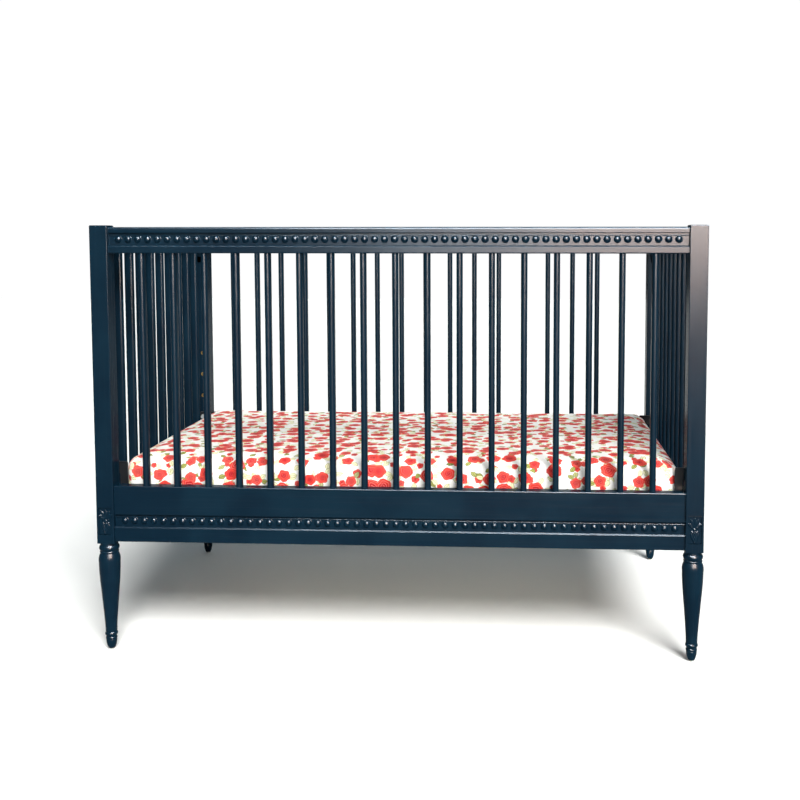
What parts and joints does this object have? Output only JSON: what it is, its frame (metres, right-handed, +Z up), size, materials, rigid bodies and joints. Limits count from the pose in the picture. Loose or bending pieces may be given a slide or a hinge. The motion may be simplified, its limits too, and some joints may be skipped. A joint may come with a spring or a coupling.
{
  "type": "baby crib",
  "caption": "Baby crib with upright slats all round, turned legs, beaded rails, carved corner blocks, a sprung steel base hung at one of several heights, and a sheeted mattress.",
  "frame": {"origin": "on the floor under the middle of the crib: the centre of the underside of its bounding box", "axes": "+Z up; +X along the crib's length, to the right as seen from the front; -Y out of the front side"},
  "size_m": [1.4108, 0.7838, 1],
  "materials": {
    "painted_wood": "satin",
    "painted_steel": "satin",
    "spring_wire": "satin",
    "zinc_steel": "satin",
    "brass": "satin",
    "nylon": "matte",
    "beech": "matte",
    "wadding": "matte",
    "pocket_cloth": "matte",
    "ticking": "matte",
    "printed_cotton": "matte"
  },
  "bodies": {
    "frame": {"front_left_post": "painted_wood", "front_right_post": "painted_wood", "back_left_post": "painted_wood", "back_right_post": "painted_wood", "front_left_leg": "painted_wood", "front_right_leg": "painted_wood", "back_left_leg": "painted_wood", "back_right_leg": "painted_wood", "front_left_tablet": "painted_wood", "front_right_tablet": "painted_wood", "back_left_tablet": "painted_wood", "back_right_tablet": "painted_wood", "front_top_rail": "painted_wood", "front_bottom_rail": "painted_wood", "back_top_rail": "painted_wood", "back_bottom_rail": "painted_wood", "left_top_rail": "painted_wood", "left_bottom_rail": "painted_wood", "right_top_rail": "painted_wood", "right_bottom_rail": "painted_wood", "left_corner_blocks": "painted_wood", "right_corner_blocks": "painted_wood", "front_slats": "painted_wood", "back_slats": "painted_wood", "left_slats": "painted_wood", "right_slats": "painted_wood", "front_top_beading": "painted_wood", "front_bottom_beading": "painted_wood", "back_top_beading": "painted_wood", "back_bottom_beading": "painted_wood", "leg_studs": "zinc_steel", "foot_glides": "nylon", "rail_bolts": "zinc_steel", "barrel_nuts": "zinc_steel", "rail_dowels": "beech", "end_dowels": "beech", "height_inserts": "brass", "base_pegs": "zinc_steel"},
    "base": {"base_side_angles": "painted_steel", "base_end_angles": "painted_steel", "base_hangers": "painted_steel", "hanger_rivets": "zinc_steel", "deck_long_wires": "spring_wire", "deck_cross_wires": "spring_wire", "deck_springs": "spring_wire"},
    "mattress": {"mattress_bottom_pad": "wadding", "mattress_top_pad": "wadding", "mattress_border": "wadding", "mattress_coil_pockets": "pocket_cloth", "mattress_ticking": "ticking", "fitted_sheet": "printed_cotton"}
  },
  "joints": [
    {"name": "base_height", "type": "slide", "parent": "frame", "child": "base", "axis": [0, 0, 1], "range_m": [0, 0.195]},
    {"name": "mattress_lift", "type": "slide", "parent": "base", "child": "mattress", "axis": [0, 0, 1], "range_m": [0, 0.75]}
  ]
}
